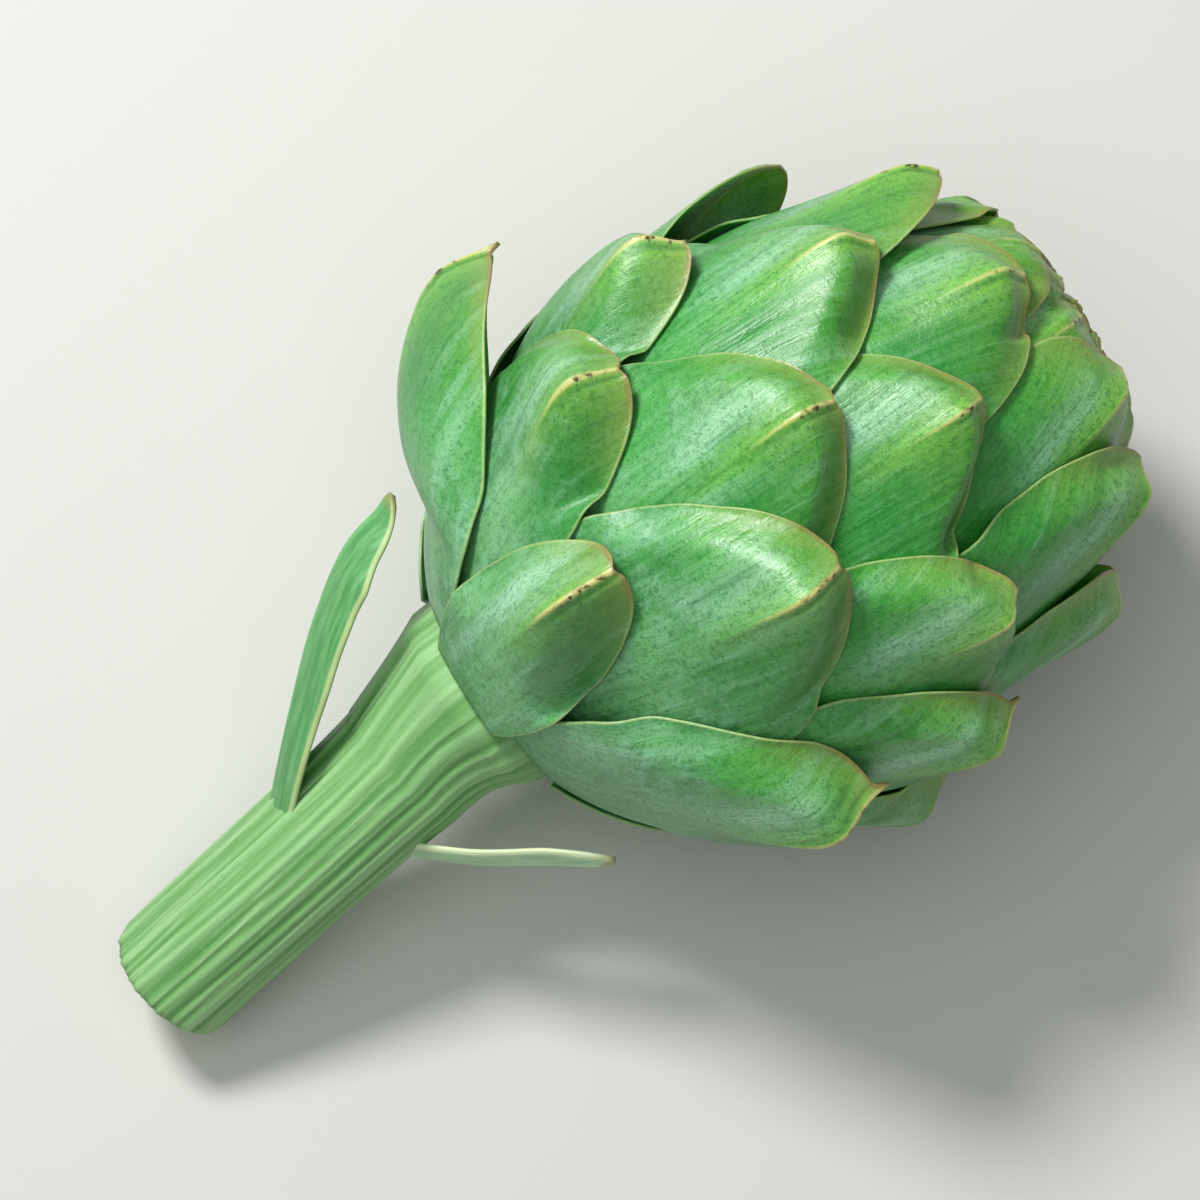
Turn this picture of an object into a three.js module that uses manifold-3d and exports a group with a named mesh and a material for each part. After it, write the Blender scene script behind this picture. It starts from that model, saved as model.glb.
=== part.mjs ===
// A globe artichoke as picked: a closed head of overlapping bracts on a cut, ribbed stem.
// It lies on its belly and on the end of its stem, with the tip of the head raised a little.
// Millimetres, +Z up, the surface at z = 0, the stem towards -X and the tip towards +X.

import * as THREE from 'three';
import Module from 'manifold-3d';
import { mergeVertices } from 'three/addons/utils/BufferGeometryUtils.js';

// The head's outline, measured from its widest section along its own axis
const headRadius = 48.3;
const headTop = 55.5;
const headBottom = 53;
const headTilt = 12;
const headCentre = [28.9, -1.7, 46.7];

// The leaf order: each bract is one golden turn on from the one below it
const bractCount = 34;
const crownCount = 8;
const goldenTurn = 137.86;
const firstTurn = -134.1;
const lowestTip = 111.6;
const pointBract = 42.9;
const crowding = 1.45;

// Layers: each bract lies one step deeper than the one before it, and the steps grow upwards
const layerStep = 0.62;
const layerGrowth = 0.0025;
const baseEasing = 12;
const rootAngle = 160;
const rootSlope = 1.2;
const rootGap = 0.8;

// One bract: its outline, its flesh, and its relief, which ends where lower bracts cover it
const tipWidth = 5.5;
const halfSpan = 38;
const rootSpan = 43;
const crownSpan = 57;
const spanWidensFrom = 16;
const spanBlend = 5;
const fleshThick = 1.6;
const edgeThick = 0.8;
const upperThin = 0.5;
const coveredSteps = 8;
const keelHeight = 1.9;
const keelWidth = 5;
const keelInside = 0.3;
const bellyHeight = 1.7;
const bellyWidth = 21;
const tipHug = 1.5;
const hugLength = 6;
const liftLength = 10;
const bractRows = 7;
const bractColumns = [-1, -0.74, -0.47, -0.2, 0, 0.2, 0.47, 0.74, 1];

// The closed heart of the bud, and the crown bracts sunk in it
const budLayer = 37;
const budTop = 3;
const budFloor = 128;
const crownRoot = 44;
const crownSink = 4;
const crownRelief = 0.1;

// How far the bracts under the head, pressed by its weight, are trimmed flat
const pressedFlat = 0.25;

// Bracts that stand away from the head, by number, with how far their tips stand off
const standOff = new Map([[3, 3.5], [16, 1.2], [24, 1.8]]);

// How far some bracts lie off their place in the spiral, by number: round the head, and down it
const offPlace = new Map([
  [1, [-1, -1]], [3, [8, 0]], [4, [9, -3]], [6, [0, 1]], [9, [-4, -1]], [11, [10, 1]],
  [12, [-4, 1]], [14, [2, 3]], [16, [-12, 2]], [17, [3, 4]], [19, [3, 0]], [20, [0, -1]],
  [22, [-6, 5]], [24, [5, 0]], [25, [6, -5]], [27, [-4, -2]], [29, [5, 0]], [30, [9, -4]],
]);

// The stem, which flares at its neck under the head, and the receptacle that it widens into
const stemRadius = 10.3;
const stemEnd = -112;
const stemBevel = 1.2;
const bendStart = -46;
const stemSag = 15.9;
const stemSwing = 9;
const neckAlong = -48.5;
const neckFlare = 4.4;
const flareLength = 7.5;
const receptacleTop = -18.4;
const receptacleWiden = 2.7;
const ribCount = 9;
const ribHeight = 0.55;
const stemSides = 36;
const stemLevels = 11;
const receptacleLevels = 4;

// The two small leaves of the stem: a path from the tip to the root sunk in the stem, each point
// given as up, near side and along the head's axis, with the way the leaf's back faces
const upperLeaf = {
  path: [[18.4, -27.2, -40], [17.2, -25.4, -49], [13.4, -19.8, -59], [7.2, -11.6, -70], [-2.6, -1.6, -83]],
  back: [0.56, -0.83, 0],
  halfWidth: 6.5,
  thick: 1.6,
  cup: 2.6,
};
const lowerLeaf = {
  path: [[-1, 31, -43], [-1.5, 25.6, -51], [-2.5, 20, -60], [-4, 11, -71]],
  back: [0.1, 0.99, -0.3],
  halfWidth: 3.4,
  thick: 1.5,
  cup: 0.9,
};
const leafRows = 8;
const leafColumns = [-1, -0.5, 0, 0.5, 1];
const socketGap = 0.6;

const wasm = await Module();
wasm.setup();

const leafGreen = new THREE.Color(0x62a868);
const upperGreen = new THREE.Color(0x74ad5c);
const budGreen = new THREE.Color(0x8bb85c);
const stemGreen = new THREE.Color(0xa9c982);

const rad = THREE.MathUtils.degToRad;

// The angle of a bract's tip from the head's own tip, in degrees
function tipAngle(number) {
  return lowestTip * Math.pow(Math.max(1 - number / pointBract, 0), crowding);
}

// How deep a bract's layer lies under the lowest bract's
function layerOf(number) {
  return layerStep * number + layerGrowth * number * number;
}

// How much deeper every layer lies at this angle than at the lowest bract's tip
function layerDepth(angle) {
  const slope = (layerStep * pointBract) / (crowding * lowestTip);
  if (angle > lowestTip) {
    return slope * baseEasing * (1 - Math.exp((lowestTip - angle) / baseEasing));
  }
  return -layerOf(pointBract * (1 - Math.pow(angle / lowestTip, 1 / crowding)));
}

// A point of the head in its own frame: X faces up, Y is the near side, Z runs to the tip
function headPoint(angle, turn, depth) {
  const scale = 1 - depth / headRadius;
  const reach = scale * headRadius * Math.sin(rad(angle));
  const along = scale * (angle < 90 ? headTop : headBottom) * Math.cos(rad(angle));
  return new THREE.Vector3(reach * Math.cos(rad(turn)), reach * Math.sin(rad(turn)), along);
}

// A bract's point, lifted to where the surface holds it: bracts under the head are bent flat
function settled(point, height) {
  const tilt = rad(headTilt);
  const level = headCentre[2] + point.x * Math.cos(tilt) + point.z * Math.sin(tilt);
  const rise = Math.max(height - pressedFlat - level, 0);
  return point.add(new THREE.Vector3(rise * Math.cos(tilt), 0, rise * Math.sin(tilt)));
}

// A closed mesh from a list of points and a list of triangles
function solidGeometry(points, triangles) {
  const geometry = new THREE.BufferGeometry().setFromPoints(points);
  geometry.setIndex(triangles);
  return geometry;
}

function toSolid(geometry) {
  const bare = geometry.clone();
  bare.deleteAttribute('normal');
  bare.deleteAttribute('uv');
  const merged = mergeVertices(bare, 1e-4);
  const vertProperties = new Float32Array(merged.attributes.position.array);
  const triVerts = new Uint32Array(merged.index.array);
  return new wasm.Manifold(new wasm.Mesh({ numProp: 3, vertProperties, triVerts }));
}

// The largest body of a solid, with its sealed hollows filled and its scraps dropped
function largestPiece(solid) {
  return solid.decompose().reduce((best, piece) => (piece.volume() > best.volume() ? piece : best));
}

function toGeometry(solid) {
  const mesh = solid.getMesh();
  const geometry = new THREE.BufferGeometry();
  geometry.setAttribute('position', new THREE.BufferAttribute(mesh.vertProperties, 3));
  geometry.setIndex(new THREE.BufferAttribute(mesh.triVerts, 1));
  return geometry;
}

// A blade with a pointed tip: two like grids of points, row by row from the tip, and a rim
function bladeGeometry(rows, columns, pointAt) {
  const points = [];
  for (const side of [0, 1]) {
    points.push(pointAt(0, 0, side));
    for (let row = 1; row <= rows; row += 1) {
      for (const across of columns) points.push(pointAt(row / rows, across, side));
    }
  }
  const width = columns.length;
  const sheet = 1 + rows * width;
  const at = (side, row, column) => side * sheet + (row === 0 ? 0 : 1 + (row - 1) * width + column);
  const triangles = [];
  const add = (a, b, c) => {
    triangles.push(a, b, c);
  };
  for (let row = 0; row < rows; row += 1) {
    for (let column = 0; column + 1 < width; column += 1) {
      for (const side of [0, 1]) {
        const a = at(side, row, column);
        const b = at(side, row + 1, column);
        const c = at(side, row + 1, column + 1);
        const d = at(side, row, column + 1);
        const leftHalf = column < (width - 1) / 2;
        const pieces = leftHalf ? [[a, b, c], [a, c, d]] : [[a, b, d], [d, b, c]];
        for (const [p, q, r] of row === 0 ? [[a, b, c]] : pieces) {
          if (side === 0) add(p, q, r);
          else add(p, r, q);
        }
      }
    }
    for (const column of [0, width - 1]) {
      const a = at(0, row, column);
      const b = at(0, row + 1, column);
      const c = at(1, row + 1, column);
      const d = at(1, row, column);
      if (column === 0) {
        add(a, d, c);
        add(a, c, b);
      } else {
        add(a, c, d);
        add(a, b, c);
      }
    }
  }
  for (let column = 0; column + 1 < width; column += 1) {
    const a = at(0, rows, column);
    const b = at(0, rows, column + 1);
    const c = at(1, rows, column + 1);
    const d = at(1, rows, column);
    add(a, d, c);
    add(a, c, b);
  }
  return solidGeometry(points, triangles);
}

// One bract: broad and round at its tip, keeled along its middle, rooted on the receptacle.
// A bract of the crown stops short instead, and thickens until it is sunk in the bud.
function bractGeometry(number, shortRoot = 0, sink = 0) {
  const [moved, lowered] = offPlace.get(number) ?? [0, 0];
  const tip = tipAngle(number) + lowered;
  const turn = firstTurn + goldenTurn * number + moved;
  const layer = layerOf(number);
  const share = number / bractCount;
  const flesh = fleshThick * (1 - upperThin * share);
  const lift = standOff.get(number) ?? 0;
  const shown = rad(tipAngle(number - coveredSteps) - tip) * headRadius;
  const size = Math.min(shown / rad(tipAngle(-coveredSteps) - lowestTip) / headRadius, 1);
  const strength = number < bractCount ? size : size * crownRelief;
  const widening = THREE.MathUtils.smoothstep(number, spanWidensFrom, bractCount);
  const cap = THREE.MathUtils.lerp(halfSpan, crownSpan, widening);
  const pointAt = (down, across, side) => {
    const edge = across * across;
    const thick = edgeThick + (flesh - edgeThick) * Math.pow(1 - edge, 1.5) * Math.min(down * 4, 1);
    const inward = side * (thick + sink * down);
    const root = shortRoot || rootAngle - rootSlope * (layer + inward) - rootGap;
    const angle = tip + (root - tip) * down * down;
    const fromTip = rad(angle - tip) * headRadius;
    const reach = headRadius * Math.sin(rad(angle));
    const tipSpan = (tipWidth * Math.sqrt(fromTip)) / Math.max(reach, 1);
    const fullSpan = rad(THREE.MathUtils.lerp(cap, Math.max(cap, rootSpan), down ** 4));
    const span = 1 / Math.pow(tipSpan ** -spanBlend + fullSpan ** -spanBlend, 1 / spanBlend);
    const sideways = across * span * reach;
    const fade = THREE.MathUtils.smoothstep(1 - fromTip / shown, 0, 0.9);
    const ridge = Math.exp(-((sideways / keelWidth) ** 2)) * Math.min(0.45 + fromTip / 7, 1);
    const belly = Math.max(1 - (sideways / bellyWidth) ** 2, 0) * Math.min(fromTip / 8, 1);
    const hug = tipHug * Math.exp(-((fromTip / hugLength) ** 2)) * (lift ? 0 : 1);
    const relief = fade * strength * (bellyHeight * belly + keelHeight * ridge * (side ? keelInside : 1));
    const raised = relief - hug + lift * Math.exp(-((fromTip / (liftLength * size)) ** 2));
    const depth = layer + layerDepth(angle) + inward - raised;
    const point = headPoint(angle, turn + THREE.MathUtils.radToDeg(across * span), depth);
    return settled(point, inward);
  };
  return bladeGeometry(bractRows, bractColumns, pointAt);
}

// The closed heart of the bud, with the smallest bracts of the crown grown onto it
function budSolid() {
  const rings = 11;
  const sides = 20;
  const points = [headPoint(0, 0, budTop)];
  for (let ring = 1; ring <= rings; ring += 1) {
    const angle = (budFloor * ring) / rings;
    const depth = Math.max(layerOf(budLayer) + layerDepth(angle), budTop);
    for (let side = 0; side < sides; side += 1) points.push(headPoint(angle, (360 * side) / sides, depth));
  }
  const floorZ = points[points.length - 1].z;
  points.push(new THREE.Vector3(0, 0, floorZ));
  const triangles = [];
  const at = (ring, side) => 1 + (ring - 1) * sides + (side % sides);
  for (let side = 0; side < sides; side += 1) {
    triangles.push(0, at(1, side), at(1, side + 1));
    for (let ring = 1; ring < rings; ring += 1) {
      triangles.push(at(ring, side), at(ring + 1, side), at(ring + 1, side + 1));
      triangles.push(at(ring, side), at(ring + 1, side + 1), at(ring, side + 1));
    }
    triangles.push(points.length - 1, at(rings, side + 1), at(rings, side));
  }
  let bud = toSolid(solidGeometry(points, triangles));
  for (let number = bractCount; number < bractCount + crownCount; number += 1) {
    bud = bud.add(toSolid(bractGeometry(number, crownRoot, crownSink)));
  }
  return largestPiece(bud);
}

// The stem's middle line: it sags to the surface and swings a little to the near side
function stemLine(along) {
  const past = Math.max((bendStart - along) / (bendStart - stemEnd), 0);
  const sag = -stemSag * Math.pow(past, 1.4);
  const swing = stemSwing * Math.pow(past, 0.9) * Math.min(past * 4, 1);
  return new THREE.Vector3(sag, swing, along);
}

// The stem's half width along it: cut end, shaft, flare under the head, receptacle
function stemReach(along) {
  if (along < neckAlong) return stemRadius + neckFlare * Math.exp((along - neckAlong) / flareLength);
  const upTo = (along - neckAlong) / (receptacleTop - neckAlong);
  return stemRadius + neckFlare + receptacleWiden * upTo;
}

// The stem and the receptacle it widens into, one body, ribbed along its length
function stemSolid() {
  const levels = [stemEnd];
  for (let level = 0; level < stemLevels; level += 1) {
    const below = Math.pow(1 - level / (stemLevels - 1), 1.3);
    levels.push(THREE.MathUtils.lerp(neckAlong, stemEnd + stemBevel, below));
  }
  for (let level = 1; level <= receptacleLevels; level += 1) {
    levels.push(THREE.MathUtils.lerp(neckAlong, receptacleTop, (level / receptacleLevels) ** 1.5));
  }
  const points = [stemLine(stemEnd)];
  for (const along of levels) {
    const middle = stemLine(along);
    const ahead = stemLine(along + 0.5).sub(stemLine(along - 0.5)).normalize();
    const up = new THREE.Vector3(1, 0, 0).addScaledVector(ahead, -ahead.x).normalize();
    const near = new THREE.Vector3().crossVectors(ahead, up);
    const bevel = along === stemEnd ? 0.94 : 1;
    const ribs = ribHeight * THREE.MathUtils.smoothstep(neckAlong - along, -1, 5) * bevel;
    for (let side = 0; side < stemSides; side += 1) {
      const around = (2 * Math.PI * side) / stemSides;
      const reach = stemReach(along) * bevel + ribs * Math.cos(ribCount * around);
      const point = middle.clone().addScaledVector(up, reach * Math.cos(around));
      points.push(point.addScaledVector(near, reach * Math.sin(around)));
    }
  }
  points.push(new THREE.Vector3(0, 0, receptacleTop));
  const triangles = [];
  const at = (level, side) => 1 + level * stemSides + (side % stemSides);
  for (let side = 0; side < stemSides; side += 1) {
    triangles.push(0, at(0, side + 1), at(0, side));
    for (let level = 0; level + 1 < levels.length; level += 1) {
      triangles.push(at(level, side), at(level, side + 1), at(level + 1, side + 1));
      triangles.push(at(level, side), at(level + 1, side + 1), at(level + 1, side));
    }
    triangles.push(points.length - 1, at(levels.length - 1, side), at(levels.length - 1, side + 1));
  }
  return toSolid(solidGeometry(points, triangles));
}

// A small leaf of the stem, cupped towards the head; grown by a gap all round, it cuts its socket
function leafSolid({ path, back, halfWidth, thick, cup }, gap = 0) {
  const line = new THREE.CatmullRomCurve3(path.map((point) => new THREE.Vector3(...point)));
  const facing = new THREE.Vector3(...back).normalize();
  const pointAt = (down, across, side) => {
    const middle = line.getPoint(down);
    const ahead = line.getTangent(down);
    const out = facing.clone().addScaledVector(ahead, -facing.dot(ahead)).normalize();
    const wide = new THREE.Vector3().crossVectors(out, ahead);
    const outline = Math.sqrt(Math.min(down * 3, 1)) * (1 - 0.42 * down * down);
    const sheet = (1 - 0.5 * across * across) * thick * Math.min(0.85 + down, 1);
    const through = (side ? -0.5 : 0.5) * (sheet + 2 * gap) - cup * across * across * outline;
    return middle
      .addScaledVector(wide, across * (halfWidth * outline + gap))
      .addScaledVector(out, through)
      .addScaledVector(ahead, gap * down);
  };
  return toSolid(bladeGeometry(leafRows, leafColumns, pointAt));
}

// The plain surface that the head and the stem's end are pressed flat on
function surfaceSolid(inverse) {
  const slab = new THREE.BoxGeometry(400, 400, 60);
  slab.translate(0, 0, -30);
  slab.applyMatrix4(inverse);
  return toSolid(slab);
}

const artichoke = new THREE.Group();
const plant = new THREE.Group();
plant.name = 'plant';
const tilt = rad(headTilt);
const upward = new THREE.Vector3(-Math.sin(tilt), 0, Math.cos(tilt));
const nearSide = new THREE.Vector3(0, -1, 0);
const toTip = new THREE.Vector3(Math.cos(tilt), 0, Math.sin(tilt));
const placing = new THREE.Matrix4().makeBasis(upward, nearSide, toTip).setPosition(...headCentre);
plant.applyMatrix4(placing);
artichoke.add(plant);
const surface = surfaceSolid(placing.clone().invert());

function addPiece(name, solid, colour, roughness) {
  const pressed = solid.subtract(surface);
  const material = new THREE.MeshStandardMaterial({ color: colour, roughness, metalness: 0 });
  const piece = new THREE.Mesh(toGeometry(pressed), material);
  piece.name = name;
  plant.add(piece);
}

for (let number = 0; number < bractCount; number += 1) {
  const colour = leafGreen.clone().lerp(upperGreen, number / bractCount);
  const name = `bract_${String(number + 1).padStart(2, '0')}`;
  addPiece(name, toSolid(bractGeometry(number)), colour, 0.55);
}
addPiece('inner_bud', budSolid(), budGreen, 0.5);
addPiece('stem_leaf_upper', leafSolid(upperLeaf), leafGreen, 0.55);
addPiece('stem_leaf_lower', leafSolid(lowerLeaf), stemGreen, 0.55);
const sockets = leafSolid(upperLeaf, socketGap).add(leafSolid(lowerLeaf, socketGap));
addPiece('stem', largestPiece(stemSolid().subtract(sockets)), stemGreen, 0.6);

export default artichoke;
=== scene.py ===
import math

import bpy
import numpy as np
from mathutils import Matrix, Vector


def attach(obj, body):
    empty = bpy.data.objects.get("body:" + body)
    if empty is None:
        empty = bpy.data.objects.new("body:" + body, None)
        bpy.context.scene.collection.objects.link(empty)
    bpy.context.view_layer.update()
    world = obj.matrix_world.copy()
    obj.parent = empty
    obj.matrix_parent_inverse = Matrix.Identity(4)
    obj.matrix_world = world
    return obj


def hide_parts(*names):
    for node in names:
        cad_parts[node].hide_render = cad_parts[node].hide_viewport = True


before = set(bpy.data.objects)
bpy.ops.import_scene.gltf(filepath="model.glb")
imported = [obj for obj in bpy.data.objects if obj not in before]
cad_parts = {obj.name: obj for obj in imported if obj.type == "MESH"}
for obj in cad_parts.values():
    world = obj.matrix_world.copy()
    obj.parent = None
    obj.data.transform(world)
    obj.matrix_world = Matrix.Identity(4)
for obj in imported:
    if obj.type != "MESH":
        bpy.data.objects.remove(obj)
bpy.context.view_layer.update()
print("artichoke: frame loaded,", len(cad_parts), "nodes")

# The head, in millimetres in its own frame: first axis up, second the near side, third to the tip
head = {
    "radius": 48.3,
    "top": 55.5,
    "bottom": 53.0,
    "tilt": 12.0,
    "centre": (28.9, -1.7, 46.7),
    "pressedFlat": 0.25,
}

# The leaf order and the layers that the bracts lie in
spiral = {
    "bracts": 34,
    "crown": 9,
    "lowerBracts": 18,
    "turn": 137.86,
    "firstTurn": -134.1,
    "lowestTip": 111.6,
    "pointBract": 42.9,
    "crowding": 1.45,
    "layerStep": 0.62,
    "layerGrowth": 0.0025,
    "baseEasing": 12.0,
    "rootAngle": 160.0,
    "rootSlope": 0.95,
    "rootGap": 0.5,
    "budLayer": 37,
    "budTop": 1.8,
    "budFloor": 128.0,
}

# How far some bracts lie off their place in the spiral: round the head, and down it
offPlace = {
    1: (-1, -1),
    3: (8, 0),
    4: (9, -3),
    6: (0, 1),
    9: (-4, -1),
    11: (10, 1),
    12: (-4, 1),
    14: (2, 3),
    16: (-12, 2),
    17: (3, 4),
    19: (3, 0),
    20: (0, -1),
    22: (-6, 5),
    24: (5, 0),
    25: (6, -5),
    27: (-4, -2),
    29: (5, 0),
    30: (9, -4),
}

millimetre = 0.001
tilt = math.radians(head["tilt"])
headAxes = np.array([
    (-math.sin(tilt), 0.0, math.cos(tilt)),
    (0.0, -1.0, 0.0),
    (math.cos(tilt), 0.0, math.sin(tilt)),
])


# How far from the head's tip the tip of a bract lies, in degrees
def tipAngle(number):
    share = max(1 - number / spiral["pointBract"], 0)
    return spiral["lowestTip"] * share ** spiral["crowding"]


# How deep a bract lies under the lowest one, in millimetres
def layerOf(number):
    return spiral["layerStep"] * number + spiral["layerGrowth"] * number * number


# How much deeper every layer lies at this angle than at the lowest bract's tip
def layerDepth(angle):
    lowest = spiral["lowestTip"]
    easing = spiral["baseEasing"]
    slope = spiral["layerStep"] * spiral["pointBract"] / (spiral["crowding"] * lowest)
    below = slope * easing * (1 - np.exp((lowest - np.maximum(angle, lowest)) / easing))
    share = np.clip(angle / lowest, 0, 1) ** (1 / spiral["crowding"])
    above = -layerOf(spiral["pointBract"] * (1 - share))
    return np.where(angle > lowest, below, above)


# A point of the head from its angle, its turn and its depth
def headPoint(angle, turn, depth):
    scale = 1 - depth / head["radius"]
    reach = scale * head["radius"] * np.sin(np.radians(angle))
    along = scale * np.where(angle < 90, head["top"], head["bottom"]) * np.cos(np.radians(angle))
    return np.stack([reach * np.cos(np.radians(turn)), reach * np.sin(np.radians(turn)), along], 1)


# Bracts under the head are bent flat where the surface holds them
def settled(points, height):
    level = head["centre"][2] + points[:, 0] * math.cos(tilt) + points[:, 2] * math.sin(tilt)
    rise = np.maximum(height - head["pressedFlat"] - level, 0)
    return points + rise[:, None] * np.array([math.cos(tilt), 0, math.sin(tilt)])


# From the head's own frame to the floor's, in metres
def toPlace(points):
    placed = points @ headAxes + np.array(head["centre"])
    placed[:, 2] = np.maximum(placed[:, 2], 0)
    return placed * millimetre


def smooth(value, low, high):
    share = np.clip((value - low) / (high - low), 0, 1)
    return share * share * (3 - 2 * share)


# Slow random waves, the same on every run
def waves(seed, value, lengths):
    draw = np.random.default_rng(seed)
    total = 0
    for length in lengths:
        total = total + np.sin(value * 2 * math.pi / length + draw.uniform(0, 2 * math.pi))
    return total / len(lengths)


def deselectAll():
    if bpy.context.object and bpy.context.object.mode != "OBJECT":
        bpy.ops.object.mode_set(mode="OBJECT")
    bpy.ops.object.select_all(action="DESELECT")


# The points of a mesh as an array, and back
def pointsOf(mesh):
    flat = np.zeros(len(mesh.vertices) * 3, np.float32)
    mesh.vertices.foreach_get("co", flat)
    return flat.reshape(-1, 3).astype(float)


def setPoints(mesh, points):
    mesh.vertices.foreach_set("co", points.astype(np.float32).ravel())
    mesh.update()


def setField(mesh, name, values):
    field = mesh.attributes.new(name, "FLOAT", "POINT")
    field.data.foreach_set("value", np.broadcast_to(values, (len(mesh.vertices),)).astype(np.float32))


def closeAndSmooth(piece):
    bpy.ops.object.mode_set(mode="EDIT")
    bpy.ops.mesh.select_all(action="SELECT")
    bpy.ops.mesh.remove_doubles(threshold=1e-6)
    bpy.ops.mesh.normals_make_consistent(inside=False)
    bpy.ops.object.mode_set(mode="OBJECT")
    bpy.ops.object.shade_smooth()
    return piece


# A closed sheet: a grid, drawn out twice so that its rim has a middle row, then laid in its place
def sheetFrom(name, columns, rows, place):
    deselectAll()
    bpy.ops.mesh.primitive_grid_add(x_subdivisions=columns * 2, y_subdivisions=rows, size=2)
    piece = bpy.context.object
    piece.name = name
    bpy.ops.object.mode_set(mode="EDIT")
    bpy.ops.mesh.select_all(action="SELECT")
    for step in range(2):
        bpy.ops.mesh.extrude_region_move(TRANSFORM_OT_translate={"value": (0, 0, -0.5)})
    bpy.ops.object.mode_set(mode="OBJECT")
    grid = pointsOf(piece.data)
    place(piece.data, grid[:, 0], (1 - grid[:, 1]) / 2, -grid[:, 2])
    return closeAndSmooth(piece)


# Columns stand closest at the keel and at the margins
columnSpread = {"even": 0.28, "eased": 1.44}


def spread(column):
    width = np.abs(column)
    wave = width / 2 - np.sin(2 * math.pi * width) / (4 * math.pi)
    return np.sign(column) * (columnSpread["even"] * width + columnSpread["eased"] * wave)


# The surface that the bracts are laid on, from the heart outwards: its depth by angle and turn
laidSurface = {
    "firstAngle": 0.2,
    "lastAngle": 166,
    "angleStep": 0.5,
    "turnStep": 0.75,
    "bridge": 1.6,
    "leastReach": 12,
    "softenings": 3,
}
laidAngles = np.arange(laidSurface["firstAngle"], laidSurface["lastAngle"], laidSurface["angleStep"])
laidTurns = np.arange(0, 360, laidSurface["turnStep"])
budDepth = np.maximum(layerOf(spiral["budLayer"]) + layerDepth(laidAngles), spiral["budTop"])
laidDepth = np.repeat(budDepth[:, None], len(laidTurns), 1)


# What a stiff bract feels of the surface under it: its highest places, bridged smoothly
def bridged(depth):
    rows = max(round(laidSurface["bridge"] / math.radians(laidSurface["angleStep"]) / head["radius"]), 1)
    high = depth.copy()
    for step in range(1, rows + 1):
        for way in (-step, step):
            moved = np.roll(depth, way, 0)
            if way > 0:
                moved[:way] = depth[:1]
            else:
                moved[way:] = depth[-1:]
            high = np.minimum(high, moved)
    wide = high.copy()
    reach = np.maximum(head["radius"] * np.sin(np.radians(laidAngles)), laidSurface["leastReach"])
    turns = np.rint(laidSurface["bridge"] / reach / math.radians(laidSurface["turnStep"])).astype(int)
    for step in range(1, int(turns.max()) + 1):
        used = (turns >= step)[:, None]
        for way in (-step, step):
            wide = np.where(used, np.minimum(wide, np.roll(high, way, 1)), wide)
    for again in range(laidSurface["softenings"]):
        wide = (np.roll(wide, 1, 1) + 2 * wide + np.roll(wide, -1, 1)) / 4
        padded = np.vstack([wide[:1], wide, wide[-1:]])
        wide = (padded[:-2] + 2 * wide + padded[2:]) / 4
    return wide


# The depth of the laid surface at any angle and turn
def sampled(depth, angle, turn):
    row = np.clip((angle - laidAngles[0]) / laidSurface["angleStep"], 0, len(laidAngles) - 1.001)
    column = (turn % 360) / laidSurface["turnStep"]
    top, left = np.floor(row).astype(int), np.floor(column).astype(int)
    down, over = row - top, column - left
    left, beside = left % len(laidTurns), (left + 1) % len(laidTurns)
    first = depth[top, left] * (1 - over) + depth[top, beside] * over
    second = depth[top + 1, left] * (1 - over) + depth[top + 1, beside] * over
    return first * (1 - down) + second * down


# One bract's outline, flesh and relief, in millimetres and degrees. By number, counted from 0: how far
# some stand off, how wide their upper and lower sides are, how full they are, and their dry spines
bractForm = {
    "columns": 28,
    "rows": 60,
    "tipWidth": 5.5,
    "halfSpan": 38.0,
    "rootSpan": 43.0,
    "crownSpan": 57.0,
    "widensFrom": 16,
    "blend": 5,
    "flesh": 1.6,
    "fleshRound": 1.2,
    "fleshRise": 6,
    "edge": 0.4,
    "upperThin": 0.5,
    "coveredSteps": 8,
    "keelHeight": 4.6,
    "keelWidth": 6.5,
    "keelRound": 0.6,
    "keelAtTip": 0.55,
    "keelRise": 12,
    "bellyHeight": 1.5,
    "bellyWidth": 21.0,
    "bellyRise": 9,
    "hugWidth": 8.5,
    "hugPower": 1.3,
    "hugGap": 0.12,
    "tipOpen": 0.55,
    "tipOpenWidth": 4.5,
    "liftLength": 10.0,
    "liftFree": (10, 26),
    "bulgeReach": 1.3,
    "bulgeSkew": 1.2,
    "crestHeight": 0.22,
    "crestWidth": 0.6,
    "crestLength": 21.0,
    "grooveDepth": 0.18,
    "grooveOffset": 1.0,
    "grooveWidth": 0.5,
    "notch": 0.7,
    "notchWidth": 1.1,
    "notchLength": 1.2,
    "spineWidth": 0.55,
    "spineLength": 1.6,
    "wave": 0.012,
    "waveLengths": (7, 11, 19),
    "crownRoot": 44.0,
    "crownSink": 4.0,
    "standOff": {3: 3.5, 16: 1.2, 24: 1.8},
    "sides": {1: (0.6, 0.6), 3: (1.0, 1.22), 6: (1.25, 0.6), 11: (1.2, 0.6), 14: (1.05, 1.1)},
    "bulge": {0: 1.0, 1: 1.2, 2: 1.0, 3: 7.0, 4: 1.2},
    "spine": {0: 1.0, 3: 1.6, 4: 1.8, 12: 1.2},
}


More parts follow.
